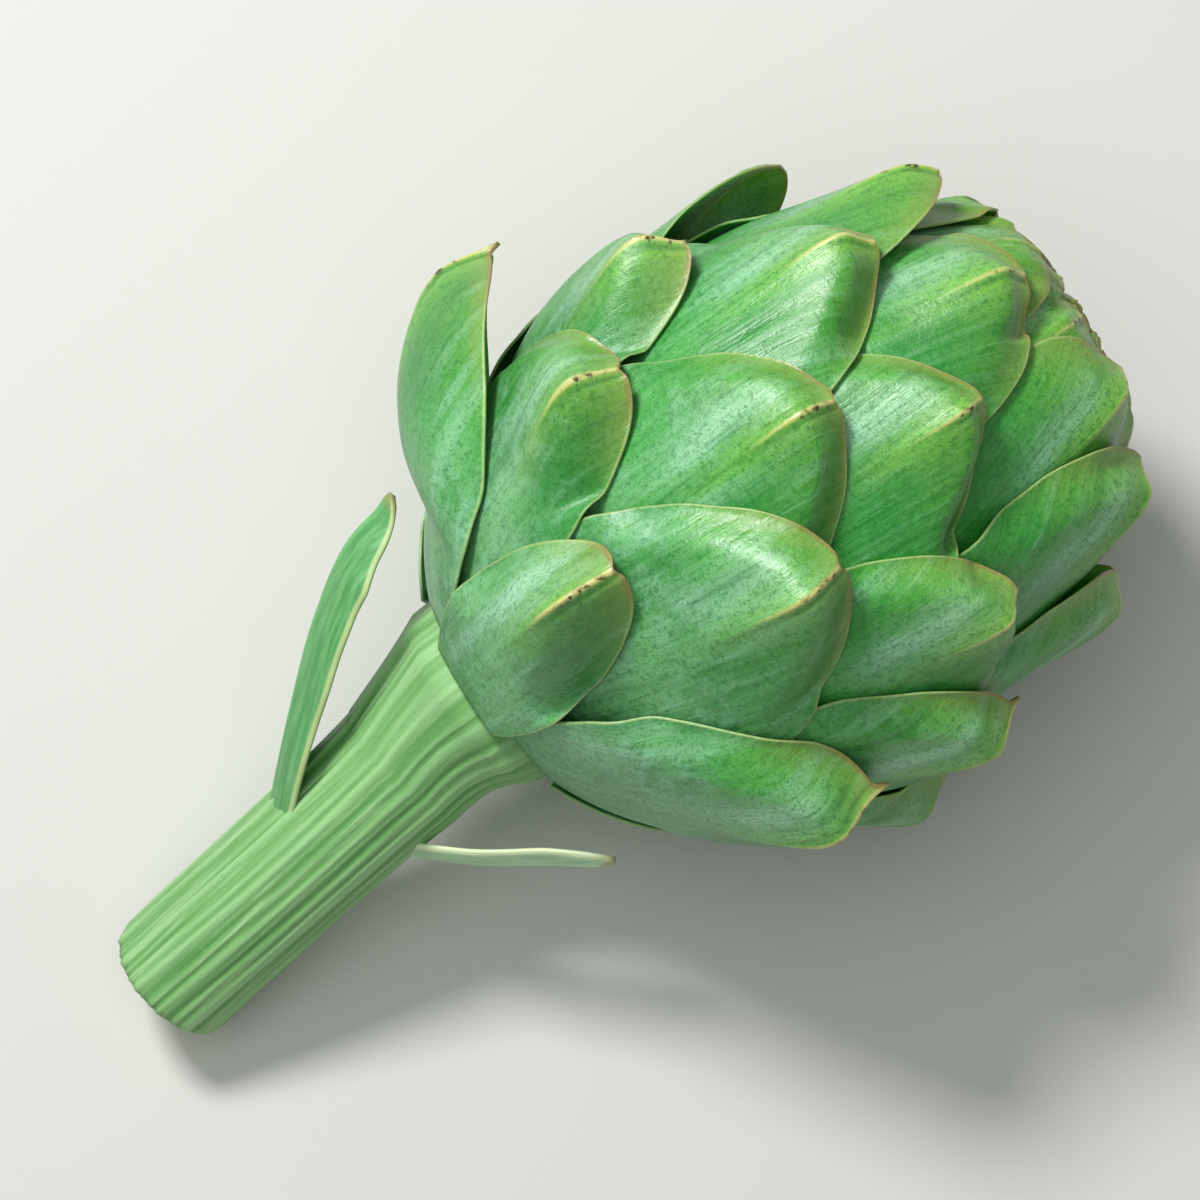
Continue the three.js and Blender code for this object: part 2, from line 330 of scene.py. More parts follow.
# The facts of one bract that do not change over it
def bractFacts(number):
    form = bractForm
    count = spiral["bracts"]
    moved, lowered = offPlace.get(number, (0, 0))
    tip = tipAngle(number) + lowered
    shown = math.radians(tipAngle(number - form["coveredSteps"]) - tip) * head["radius"]
    longest = math.radians(tipAngle(-form["coveredSteps"]) - spiral["lowestTip"]) * head["radius"]
    widening = float(smooth(number, form["widensFrom"], count))
    size = min(shown / longest, 1)
    return {
        "number": number,
        "tip": tip,
        "turn": spiral["firstTurn"] + spiral["turn"] * number + moved,
        "layer": layerOf(number),
        "flesh": form["flesh"] * (1 - form["upperThin"] * min(number / count, 1)),
        "lift": form["standOff"].get(number, 0),
        "shown": shown,
        "size": size,
        "strength": (0.25 + 0.75 * size) * (1 if number < count else 0.6),
        "cap": form["halfSpan"] + (form["crownSpan"] - form["halfSpan"]) * widening,
    }


# Half the bract's width as an angle, on the side that the way's sign tells
def halfSpanAt(facts, angle, share, way):
    form = bractForm
    fromTip = np.radians(np.maximum(angle - facts["tip"], 0)) * head["radius"]
    reach = head["radius"] * np.sin(np.radians(angle))
    tipSpan = form["tipWidth"] * np.sqrt(fromTip) / np.maximum(reach, 1) + 1e-9
    cap = facts["cap"]
    fullSpan = np.radians(cap + (max(cap, form["rootSpan"]) - cap) * share ** 2)
    power = form["blend"]
    upper, lower = form["sides"].get(facts["number"], (1, 1))
    halfSpan = (tipSpan ** -power + fullSpan ** -power) ** (-1 / power)
    return np.where(way < 0, upper, lower) * halfSpan


# The depth of a bract's outer face, its thickness and how near its margin a point is
def bractFace(facts, angle, turn, share, under):
    form = bractForm
    size, strength = facts["size"], facts["strength"]
    fromTip = np.radians(np.maximum(angle - facts["tip"], 0)) * head["radius"]
    reach = head["radius"] * np.sin(np.radians(angle))
    span = halfSpanAt(facts, angle, share, turn)
    halfWidth = np.maximum(span * reach, 1e-6)
    sideways = np.radians(turn) * reach
    across = np.clip(sideways / halfWidth, -1, 1)
    slope = np.where(fromTip > 1e-6, form["tipWidth"] / (2 * np.sqrt(np.maximum(fromTip, 1e-6))), 99)
    slope = np.where(halfWidth < 0.9 * np.radians(facts["cap"]) * reach, slope, 0.2)
    fromEdge = np.maximum(np.minimum((halfWidth - np.abs(sideways)) / np.sqrt(1 + slope ** 2), fromTip), 0)
    body = np.maximum(1 - across ** 2, 0) ** form["fleshRound"]
    body = body * np.minimum(fromTip / form["fleshRise"], 1)
    thick = form["edge"] + (facts["flesh"] - form["edge"]) * body
    fade = smooth(1 - fromTip / facts["shown"], 0, 0.9)
    keelRound = form["keelRound"]
    fromKeel = np.sqrt(sideways ** 2 + keelRound ** 2) - keelRound
    roof = np.exp(-fromKeel / (form["keelWidth"] * (0.5 + 0.5 * size)))
    ridge = roof * np.minimum(form["keelAtTip"] + fromTip / form["keelRise"], 1)
    belly = np.maximum(1 - (sideways / form["bellyWidth"]) ** 2, 0)
    belly = belly * np.minimum(fromTip / form["bellyRise"], 1)
    relief = fade * strength * (form["bellyHeight"] * belly + form["keelHeight"] * ridge)
    down = np.clip(fromTip / facts["shown"] / form["bulgeReach"], 0, 1)
    swell = np.sin(np.pi * down ** form["bulgeSkew"]) * np.maximum(1 - across ** 2, 0)
    relief = relief + form["bulge"].get(facts["number"], 0) * swell
    depth = facts["layer"] + layerDepth(angle) - relief
    seen = smooth(1 - fromTip / facts["shown"], -0.1, 0.25)
    hug = smooth(-fromEdge, -form["hugWidth"] * (0.4 + 0.6 * size), 0) ** form["hugPower"] * seen
    hug = hug * (1 - form["tipOpen"] * np.exp(-(sideways / form["tipOpenWidth"]) ** 2))
    if facts["lift"]:
        hug = hug * smooth(fromTip, *form["liftFree"])
    rest = under - form["hugGap"] - thick
    depth = depth * (1 - hug) + rest * hug
    depth = np.minimum(depth, rest)
    depth = depth - facts["lift"] * np.exp(-(fromTip / (form["liftLength"] * size)) ** 2)
    return depth, thick, sideways, fromTip, fromEdge, halfWidth


# Each bract has its own cut of the grain, and its two margins waver apart
grainSeed = 400
otherSide = 40


# One bract: a sheet from its tip to its root, laid on what is under it. A crown bract ends in the bud
def makeBract(name, number, shortRoot=None, sink=0.0):
    form = bractForm
    facts = bractFacts(number)
    tip, turn, size = facts["tip"], facts["turn"], facts["size"]
    shift = np.random.default_rng(grainSeed + number).uniform(0, 100)
    felt = bridged(laidDepth)
    root = shortRoot or spiral["rootAngle"] - spiral["rootSlope"] * facts["layer"] - spiral["rootGap"]

    def place(mesh, column, down, side):
        across = spread(column)
        share = down ** 2  # rows stand closest at the tip
        angle = tip + (root - tip) * share
        span = halfSpanAt(facts, angle, share, across)
        offset = np.degrees(across * span)
        under = sampled(felt, angle, turn + offset)
        depth, thick, sideways, fromTip, fromEdge, halfWidth = bractFace(facts, angle, offset, share, under)
        wavering = waves(number * 2 + 1, fromTip + otherSide * (across > 0), form["waveLengths"])
        margin = 1 + form["wave"] * wavering * size
        rim = np.where(np.abs(side - 0.5) < 0.1, 0.4 * form["edge"] / np.maximum(halfWidth, 1), 0)
        outward = across * (margin + rim)
        inward = side * (thick + sink * down)
        shorter = spiral["rootSlope"] * inward * share * (0 if shortRoot else 1)
        outer = 1 - side
        crestFade = smooth(-fromTip, -form["crestLength"] * size, -2) * min(size * 1.2, 1) * outer
        crest = form["crestHeight"] * np.exp(-(sideways / form["crestWidth"]) ** 2)
        fromGroove = (sideways - form["grooveOffset"]) / form["grooveWidth"]
        groove = form["grooveDepth"] * np.exp(-fromGroove ** 2)
        depth = depth + inward - (crest - groove) * crestFade
        # the tip ends in a small notch, or on some bracts in a short dry spine
        spine = form["spine"].get(number, 0)
        pull = spine if spine else -form["notch"] * size
        width = form["spineWidth"] if spine else form["notchWidth"]
        length = form["spineLength"] if spine else form["notchLength"]
        slide = pull * np.exp(-(sideways / width) ** 2 - fromTip / length)
        placedAngle = angle - shorter - np.degrees(slide / head["radius"])
        turned = turn + np.degrees(outward * span)
        setPoints(mesh, toPlace(settled(headPoint(placedAngle, turned, depth), inward)))
        setField(mesh, "across", sideways)
        setField(mesh, "fromTip", fromTip)
        setField(mesh, "fromEdge", fromEdge)
        setField(mesh, "ripeness", min(number / spiral["bracts"], 1.2))
        setField(mesh, "size", size)
        setField(mesh, "shift", shift)

    piece = sheetFrom(name, form["columns"], form["rows"], place)
    # this bract's own face is what the next ones are laid on
    angles, turns = np.meshgrid(laidAngles, laidTurns, indexing="ij")
    offset = (turns - turn + 180) % 360 - 180
    share = np.clip((angles - tip) / (root - tip), 0, 1)
    depth = bractFace(facts, angles, offset, share, felt)[0]
    span = np.degrees(halfSpanAt(facts, angles, share, offset))
    covered = (angles >= tip) & (angles <= root) & (np.abs(offset) <= span)
    laidDepth[covered] = np.minimum(laidDepth, depth)[covered]
    return piece


# Shader maths: a wrapped socket takes the usual signs, and each makes its node
class Wire:
    def __init__(self, recipe, socket):
        self.recipe = recipe
        self.socket = socket

    def maths(self, operation, *values):
        return self.recipe.node("ShaderNodeMath", {"operation": operation}, dict(enumerate(values)))

    def __add__(self, other):
        return self.maths("ADD", self, other)

    __radd__ = __add__

    def __sub__(self, other):
        return self.maths("SUBTRACT", self, other)

    def __rsub__(self, other):
        return self.maths("SUBTRACT", other, self)

    def __mul__(self, other):
        return self.maths("MULTIPLY", self, other)

    __rmul__ = __mul__

    def __truediv__(self, other):
        return self.maths("DIVIDE", self, other)

    # rises softly from 0 at the first value to 1 at the second
    def between(self, low, high):
        return self.recipe.node(
            "ShaderNodeMapRange",
            {"interpolation_type": "SMOOTHSTEP"},
            {"Value": self, "From Min": low, "From Max": high},
        )

    # 1 where the value is 0, falling softly to both sides
    def bell(self, width):
        scaled = self / width
        return self.maths("EXPONENT", scaled * scaled * -1)


class Recipe:
    def __init__(self, name):
        self.material = bpy.data.materials.new(name)
        self.material.use_nodes = True
        self.tree = self.material.node_tree
        self.shader = self.tree.nodes["Principled BSDF"]

    # adds one node: its type, its settings first, then the values or wires of its sockets
    def node(self, kind, settings=None, inputs=None, output=0):
        made = self.tree.nodes.new(kind)
        for key, value in (settings or {}).items():
            setattr(made, key, value)
        for key, value in (inputs or {}).items():
            self.feed(made.inputs[key], value)
        return Wire(self, made.outputs[output])

    def feed(self, socket, value):
        if isinstance(value, Wire):
            self.tree.links.new(value.socket, socket)
        else:
            socket.default_value = value

    def finish(self, base, roughness, normal=None):
        self.feed(self.shader.inputs["Base Color"], base)
        self.feed(self.shader.inputs["Roughness"], roughness)
        if normal:
            self.feed(self.shader.inputs["Normal"], normal)

    def field(self, name):
        return self.node("ShaderNodeAttribute", {"attribute_name": name}, output=2)

    # the place of a point in millimetres
    def place(self):
        coordinates = self.node("ShaderNodeTexCoord", output=3)
        return self.node("ShaderNodeVectorMath", {"operation": "SCALE"}, {0: coordinates, "Scale": 1000.0})

    def point(self, x, y, z):
        return self.node("ShaderNodeCombineXYZ", None, {0: x, 1: y, 2: z})

    # soft noise from 0 to 1, with features of about this size in the units of the place
    def noise(self, place, size, detail=2.0, roughness=0.5):
        return self.node(
            "ShaderNodeTexNoise",
            None,
            {"Vector": place, "Scale": 1 / size, "Detail": detail, "Roughness": roughness},
        )

    def mix(self, factor, first, second):
        made = self.tree.nodes.new("ShaderNodeMix")
        made.data_type = "RGBA"
        for socket, value in ((made.inputs[0], factor), (made.inputs[6], first), (made.inputs[7], second)):
            self.feed(socket, value)
        return Wire(self, made.outputs[2])

    # the height is in millimetres
    def bump(self, height):
        return self.node("ShaderNodeBump", None, {"Height": height, "Distance": millimetre, "Strength": 1.0})


def colour(code):
    parts = [int(code[at : at + 2], 16) / 255 for at in (0, 2, 4)]
    linear = [part / 12.92 if part <= 0.04045 else ((part + 0.055) / 1.055) ** 2.4 for part in parts]
    return (*linear, 1.0)


bractFinish = {
    "fresh": "3b9837",
    "deep": "146d28",
    "pale": "74b177",
    "blue": "68ab8e",
    # pale waxy bloom, also used for the painted highlight beside each keel
    "bloom": "9ed0b0",
    # the painted shade on the lower side of each keel
    "paintedFlankShade": "1b7f2d",
    "sun": "8bb445",
    "ridge": "8cc44c",
    "crest": "c2bd78",
    "margin": "a9b878",
    "dryTip": "8c7440",
    "speck": "3d2f18",
    "blush": "8f9a4c",
    "roughness": 0.4,
    "gloss": 0.75,
    "glow": 0.2,
    "glowReach": (0.25, 1.0, 0.35),
    "glowDepth": 0.0025,
}


def bractMaterial():
    recipe = Recipe("bractSkin")
    finish = bractFinish
    across = recipe.field("across")
    fromTip = recipe.field("fromTip")
    fromEdge = recipe.field("fromEdge")
    shift = recipe.field("shift")
    size = recipe.field("size")
    ripeness = recipe.field("ripeness")
    place = recipe.place()
    skin = recipe.point(across, fromTip, shift)
    grain = recipe.point(across, fromTip * 0.07, shift)

    cloud = recipe.noise(skin, 12.0, 3.0)
    blotch = recipe.noise(place, 3.2, 3.0, 0.6)
    mottle = recipe.noise(place, 1.0, 4.0, 0.7)
    pores = recipe.noise(place, 0.42, 2.0, 0.6)
    streak = recipe.noise(grain, 1.1, 3.0, 0.6)
    fine = recipe.noise(grain, 0.45, 2.0, 0.6)
    sweep = recipe.noise(recipe.point(across, fromTip * 0.12, shift + 7.0), 3.5, 2.0, 0.5)

    # paler and bluer towards the base, most on the low bracts, with clouds of bloom
    toBase = fromTip.between(8.0, 34.0) * (1.15 - ripeness * 1.9).between(0.0, 1.0)
    base = recipe.mix(toBase, colour(finish["fresh"]), colour(finish["pale"]))
    base = recipe.mix(cloud.between(0.42, 0.68) * 0.45, base, colour(finish["deep"]))
    base = recipe.mix(toBase * blotch.between(0.45, 0.7) * 0.35, base, colour(finish["blue"]))
    bloom = blotch.between(0.4, 0.75) * cloud.between(0.35, 0.6) * (1 - ripeness).between(0.0, 1.0)
    base = recipe.mix(bloom * 0.4, base, colour(finish["bloom"]))
    # painted shade: the lower side of each keel is painted a darker, fuller green, and the upper side carries
    # a painted highlight in the pale bloom colour
    paintedFlankShade = across.between(0.6, 5.0) * across.between(24.0, 9.0) * fromTip.between(34.0, 12.0)
    base = recipe.mix(paintedFlankShade * (0.42 + 0.6 * cloud), base, colour(finish["paintedFlankShade"]))
    # painted highlight: a pale streak in the bloom colour beside each keel on its upper side, where light
    # would glint
    paintedHighlight = (across + 5.5 + (cloud - 0.5) * 8).bell(3.0)
    paintedHighlight = paintedHighlight * fromTip.between(3.0, 9.0) * fromTip.between(30.0, 14.0)
    base = recipe.mix(paintedHighlight * (0.25 + 0.9 * fine), base, colour(finish["bloom"]))
    # yellower along the keel and towards the tip
    ridge = (across + (streak - 0.5) * 3).bell(2.6) * fromTip.between(30.0, 5.0)
    base = recipe.mix(ridge * 0.5, base, colour(finish["ridge"]))
    sun = fromTip.between(21.0, 3.0) * (0.35 + blotch) * (0.6 + ripeness * 0.7)
    base = recipe.mix(sun * 0.36, base, colour(finish["sun"]))
    # broad sweeps, fine streaks, mottling and pores
    base = recipe.mix(sweep.between(0.5, 0.72) * (0.36 - ripeness * 0.3), base, colour(finish["bloom"]))
    base = recipe.mix(sweep.between(0.46, 0.28) * 0.35, base, colour(finish["deep"]))
    base = recipe.mix(streak.between(0.5, 0.72) * 0.3, base, colour(finish["pale"]))
    base = recipe.mix(streak.between(0.47, 0.28) * 0.34, base, colour(finish["deep"]))
    base = recipe.mix(mottle.between(0.5, 0.66) * 0.5, base, colour(finish["deep"]))
    base = recipe.mix(mottle.between(0.44, 0.3) * (0.16 - ripeness * 0.1), base, colour(finish["bloom"]))
    base = recipe.mix(pores.between(0.54, 0.66) * 0.5, base, colour(finish["deep"]))

    blush = fromEdge.between(5.0, 0.0) * fromTip.between(16.0, 2.0) * (0.4 + 0.6 * blotch)
    base = recipe.mix(blush * 0.6, base, colour(finish["blush"]))
    # the crest, painted shade in the cleft beside it, its brown flecks, the margin and the dry tip
    crestLine = across.bell(0.45) * fromTip.between(18.0, 3.0) * size
    crestLine = crestLine * (0.35 + 1.1 * fine)
    base = recipe.mix(crestLine.between(0.08, 0.7), base, colour(finish["crest"]))
    # painted shade: the narrow groove beside the crest is painted a darker green
    paintedCleftShade = (across - 1.0).bell(0.35) * fromTip.between(16.0, 5.0) * size
    base = recipe.mix(paintedCleftShade * 0.6, base, colour(finish["deep"]))
    speck = (across - 0.25).bell(0.5) * fromTip.between(9.0, 5.0) * fromTip.between(1.0, 2.2)
    speck = speck * recipe.noise(place, 1.5, 2.0).between(0.52, 0.62)
    base = recipe.mix(speck, base, colour(finish["speck"]))
    margin = (fromEdge + (mottle - 0.5) * 0.2).between(0.3, 0.08)
    base = recipe.mix(margin * 0.5, base, colour(finish["margin"]))
    dry = fromEdge.between(0.8, 0.1) * fromTip.between(5.0, 0.6)
    base = recipe.mix(dry * 0.8, base, colour(finish["dryTip"]))

    height = streak * 0.16 + fine * 0.05 + mottle * 0.1 - pores * 0.04 + blotch * 0.14 + sweep * 0.2
    recipe.finish(
        base=base,
        roughness=finish["roughness"] + (blotch - 0.5) * 0.2 + (streak - 0.5) * 0.4,
        normal=recipe.bump(height),
    )
    skinLight = {
        "Specular IOR Level": finish["gloss"],
        "Subsurface Weight": finish["glow"],
        "Subsurface Radius": finish["glowReach"],
        "Subsurface Scale": finish["glowDepth"],
    }
    for socket, value in skinLight.items():
        recipe.shader.inputs[socket].default_value = value
    return recipe.material


stemFinish = {
    "rib": "8ebd7f",
    "groove": "639a55",
    "deep": "437f41",
    "pale": "abcc96",
    "neck": "7db275",
    "roughness": 0.5,
}


def stemMaterial():
    recipe = Recipe("stemSkin")
    finish = stemFinish
    rib = recipe.field("rib")
    along = recipe.field("along")
    place = recipe.place()
    grain = recipe.point(recipe.field("ringX"), recipe.field("ringY"), along * 0.05)
    streak = recipe.noise(grain, 0.8, 3.0, 0.6)
    mottle = recipe.noise(place, 0.7, 3.0, 0.6)
    blotch = recipe.noise(place, 4.0, 3.0, 0.6)
    ribLine = (rib + (streak - 0.5) * 1.2).between(-0.8, 0.9)
    base = recipe.mix(ribLine, colour(finish["groove"]), colour(finish["rib"]))
    base = recipe.mix(streak.between(0.5, 0.75) * 0.5, base, colour(finish["pale"]))
    base = recipe.mix(streak.between(0.45, 0.25) * 0.5 * rib.between(0.6, -0.8), base, colour(finish["deep"]))
    base = recipe.mix(blotch.between(0.55, 0.75) * 0.25, base, colour(finish["neck"]))
    base = recipe.mix(mottle.between(0.6, 0.72) * 0.3, base, colour(finish["groove"]))
    height = streak * 0.14 + mottle * 0.06 + blotch * 0.1
    recipe.finish(
        base=base,
        roughness=finish["roughness"] + (mottle - 0.5) * 0.2,
        normal=recipe.bump(height),
    )
    return recipe.material


cutFinish = {
    "pith": "dfe3bd",
    "ring": "9db878",
    "bundle": "7d9454",
    "aged": "a08e5c",
}


def cutMaterial():
    recipe = Recipe("cutEnd")
    finish = cutFinish
    fromMiddle = recipe.field("fromMiddle")
    place = recipe.place()
    blotch = recipe.noise(place, 2.5, 3.0)
    cells = recipe.node("ShaderNodeTexVoronoi", None, {"Vector": place, "Scale": 0.75})
    base = recipe.mix(fromMiddle.between(4.5, 9.0), colour(finish["pith"]), colour(finish["ring"]))
    bundle = cells.between(0.42, 0.2) * fromMiddle.between(4.5, 6.0) * fromMiddle.between(9.6, 8.4)
    base = recipe.mix(bundle * 0.8, base, colour(finish["bundle"]))
    base = recipe.mix(blotch.between(0.45, 0.8) * 0.5, base, colour(finish["aged"]))
    recipe.finish(
        base=base,
        roughness=0.6 + (blotch - 0.5) * 0.2,
        normal=recipe.bump(cells * 0.25 + blotch * 0.3),
    )
    return recipe.material


def leafMaterial(name, form):
    recipe = Recipe(name)
    across = recipe.field("across")
    fromTip = recipe.field("fromTip")
    fromEdge = recipe.field("fromEdge")
    place = recipe.place()
    grain = recipe.point(across, fromTip * 0.08, 3.0)
    streak = recipe.noise(grain, 0.7, 3.0, 0.6)
    mottle = recipe.noise(place, 0.7, 3.0, 0.6)
    deep, pale, rim = (colour(form[tint]) for tint in ("deep", "pale", "rim"))
    base = recipe.mix(streak.between(0.3, 0.75) * 0.6 + 0.15, deep, pale)
    base = recipe.mix(across.bell(0.7) * 0.6, base, pale)
    base = recipe.mix(mottle.between(0.56, 0.72) * 0.35, base, deep)
    base = recipe.mix(fromEdge.between(0.5, 0.15) * 0.8, base, rim)
    dry = fromTip.between(4.0, 0.5) * (0.5 + mottle)
    base = recipe.mix(dry * 0.6, base, colour(bractFinish["dryTip"]))
    recipe.finish(
        base=base,
        roughness=0.5 + (mottle - 0.5) * 0.2,
        normal=recipe.bump(streak * 0.12 + mottle * 0.06),
    )
    return recipe.material


bractSkin = bractMaterial()


# Gives a piece its materials and its place in the part
def finishPiece(piece, node, slotName, *materials):
    for material in materials:
        piece.data.materials.append(material)
    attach(piece, "root")
    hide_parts(node)


# The closed heart of the bud: a ball, its points laid on the deepest layer
def makeBud():
    deselectAll()
    bpy.ops.mesh.primitive_uv_sphere_add(segments=48, ring_count=40, radius=1)
    core = bpy.context.object
    points = pointsOf(core.data)
    angle = np.degrees(np.arccos(np.clip(points[:, 2], -1, 1))) * spiral["budFloor"] / 180
    turn = np.degrees(np.arctan2(points[:, 1], points[:, 0]))
    depth = np.maximum(layerOf(spiral["budLayer"]) + layerDepth(angle), spiral["budTop"])
    placed = headPoint(angle, turn, depth)
    lowest = angle > spiral["budFloor"] * 0.999
    placed[lowest, :2] = 0
    setPoints(core.data, toPlace(placed))
    plainSkin = {"across": 9, "fromTip": 12, "fromEdge": 9, "ripeness": 1, "size": 0.2, "shift": 5}
    for name, value in plainSkin.items():
        setField(core.data, name, value)
    core.name = "crownBud"
    closeAndSmooth(core)
    leaves = []
    crownNumbers = range(spiral["bracts"], spiral["bracts"] + spiral["crown"])
    for number in reversed(crownNumbers):
        leaves.append(makeBract(f"crown{number}", number, bractForm["crownRoot"], bractForm["crownSink"]))
    deselectAll()
    for leaf in leaves:
        leaf.select_set(True)
    core.select_set(True)
    bpy.context.view_layer.objects.active = core
    bpy.ops.object.join()
    return core


finishPiece(makeBud(), "inner_bud", "bud", bractSkin)
print("artichoke: crown made")

# from the heart outwards, because each bract is laid on those made before it
for number in reversed(range(spiral["bracts"])):
    piece = makeBract(f"bract{number + 1:02d}", number)
    slotName = "bract_lower" if number < spiral["lowerBracts"] else "bract_upper"
    finishPiece(piece, f"bract_{number + 1:02d}", slotName, bractSkin)
print("artichoke: bracts made")


# The stem, in millimetres along the head's own axis: its end, its bend to the floor, its neck and ribs
stemForm = {
    "radius": 10.3,
    "end": -112.0,
    "bevel": 1.2,
    "bevelDepth": 0.04,
    "bendStart": -46.0,
    "sag": 15.9,
    "swing": 9.0,
    "neck": -48.5,
    "neckFlare": 4.55,
    "flareLength": 7.5,
    "receptacleTop": -18.4,
    "receptacleWiden": 2.7,
    "ribs": 13,
    "ribHeight": 0.28,
    "fineHeight": 0.1,
    "ribDrift": 0.05,
    "driftLengths": (61, 97),
    "driftSeed": 11,
    "sides": 180,
    "levels": 84,
    "endRings": (0.0, 0.25, 0.45, 0.65, 0.8, 0.9, 0.945, 0.965, 0.985),
    "topRings": (0.95, 0.7, 0.35, 0.0),
    "firstLevel": 0.15,
    "endDish": 0.5,
}


# The middle of the stem
def stemLine(along):
    form = stemForm
    past = np.maximum((form["bendStart"] - along) / (form["bendStart"] - form["end"]), 0)
    sag = -form["sag"] * past ** 1.4
    swing = form["swing"] * past ** 0.9 * np.minimum(past * 4, 1)
    return np.stack([sag, swing, along], -1)


# How thick the stem is, from its middle
def stemReach(along):
    form = stemForm
    toNeck = np.minimum(along - form["neck"], 0) / form["flareLength"]
    flared = form["radius"] + form["neckFlare"] * np.exp(toNeck)
    upTo = np.maximum((along - form["neck"]) / (form["receptacleTop"] - form["neck"]), 0)
    return flared + form["receptacleWiden"] * upTo


# The stem: a ring drawn out level by level, closed at both ends, then laid along its bent line
def makeStem():
    form = stemForm
    first = form["firstLevel"]
    length = form["receptacleTop"] - form["end"] - first
    stations = [(form["end"], share) for share in form["endRings"]]
    for level in range(form["levels"] + 1):
        stations.append((form["end"] + first + length * level / form["levels"], 1.0))
    stations += [(form["receptacleTop"], share) for share in form["topRings"]]
    deselectAll()
    bpy.ops.mesh.primitive_circle_add(vertices=form["sides"], radius=1, fill_type="NOTHING")
    piece = bpy.context.object
    piece.name = "ribbedStem"
    bpy.ops.object.mode_set(mode="EDIT")
    bpy.ops.mesh.select_all(action="SELECT")
    for step in stations[1:]:
        bpy.ops.mesh.extrude_region_move(TRANSFORM_OT_translate={"value": (0, 0, 1)})
    bpy.ops.object.mode_set(mode="OBJECT")
    points = pointsOf(piece.data)
    level = np.rint(points[:, 2]).astype(int)
    around = np.arctan2(points[:, 1], points[:, 0])
    along = np.array([station[0] for station in stations])[level]
    share = np.array([station[1] for station in stations])[level]
    middle = stemLine(along)
    ahead = stemLine(along + 0.5) - stemLine(along - 0.5)
    ahead /= np.linalg.norm(ahead, axis=1)[:, None]
    up = np.array([1.0, 0, 0]) - ahead * ahead[:, :1]
    up /= np.linalg.norm(up, axis=1)[:, None]
    near = np.cross(ahead, up)
    bevel = np.minimum((along - form["end"]) / form["bevel"], 1)
    bevel = 1 - form["bevelDepth"] + form["bevelDepth"] * np.sqrt(np.maximum(1 - (1 - bevel) ** 2, 0))
    ribFade = smooth(form["neck"] - along, -12, 3)
    # the ribs drift a little round the stem and are not all alike
    drift = form["ribDrift"] * waves(form["driftSeed"], along, form["driftLengths"])
    main = 2 * (0.5 + 0.5 * np.cos(form["ribs"] * (around + drift))) ** 2.5 - 0.7
    between = 2 * (0.5 + 0.5 * np.cos(form["ribs"] * (around + drift) + 2.6)) ** 3 - 0.6
    rib = 0.8 * main + 0.45 * between + 0.2 * np.cos(5 * around + 1.3 + drift)
    fineRib = np.cos(41 * (around + drift) + 0.8) + 0.6 * np.cos(59 * around + 2.1)
    relief = ribFade * (form["ribHeight"] * rib + form["fineHeight"] * fineRib) * np.minimum(bevel, 1)
    reach = (stemReach(along) * bevel + relief) * share
    points = middle + (reach * np.cos(around))[:, None] * up + (reach * np.sin(around))[:, None] * near
    dish = np.where(along <= form["end"] + 1e-6, form["endDish"] * (1 - share ** 2), 0)
    points[:, 2] += dish
    setPoints(piece.data, toPlace(points))
    setField(piece.data, "rib", (rib + 0.3 * fineRib) * ribFade + 0.3 * (1 - ribFade))
    setField(piece.data, "ringX", form["radius"] * np.cos(around) * share)
    setField(piece.data, "ringY", form["radius"] * np.sin(around) * share)
    setField(piece.data, "along", along)
    setField(piece.data, "fromMiddle", reach)
    closeAndSmooth(piece)
    # the faces of the cut end take the second material
    levels = piece.data.attributes["along"].data
    for face in piece.data.polygons:
        if max(levels[corner].value for corner in face.vertices) < form["end"] + 0.01:
            face.material_index = 1
    return piece


stem = makeStem()
finishPiece(stem, "stem", "stem", stemMaterial(), cutMaterial())
print("artichoke: stem made")


# The path of a small leaf: a smooth curve through its points, by their own spacing
def pathPoint(points, share):
    count = len(points)
    at = np.clip(share * (count - 1), 0, count - 1 - 1e-9)
    first = int(at)
    t = at - first
    p1, p2 = points[first], points[first + 1]
    p0 = points[first - 1] if first > 0 else 2 * p1 - p2
    p3 = points[first + 2] if first + 2 < count else 2 * p2 - p1
    d0, d1, d2 = (math.sqrt(np.linalg.norm(b - a)) for a, b in ((p0, p1), (p1, p2), (p2, p3)))
    m1 = ((p1 - p0) / d0 - (p2 - p0) / (d0 + d1) + (p2 - p1) / d1) * d1
    m2 = ((p2 - p1) / d1 - (p3 - p1) / (d1 + d2) + (p3 - p2) / d2) * d1
    return p1 + m1 * t + (-3 * p1 + 3 * p2 - 2 * m1 - m2) * t ** 2 + (2 * p1 - 2 * p2 + m1 + m2) * t ** 3


# What both small leaves share
smallLeaf = {
    "columns": 12,
    "rows": 48,
    "tipSharp": 3,
    "rim": 0.25,
    "midribWidth": 1.1,
    "midribHeight": 0.4,
    "curlLength": 4.0,
    "wave": 0.05,
    "waveSeed": 31,
    "waveLengths": (9, 15),
    "otherSide": 30,
}


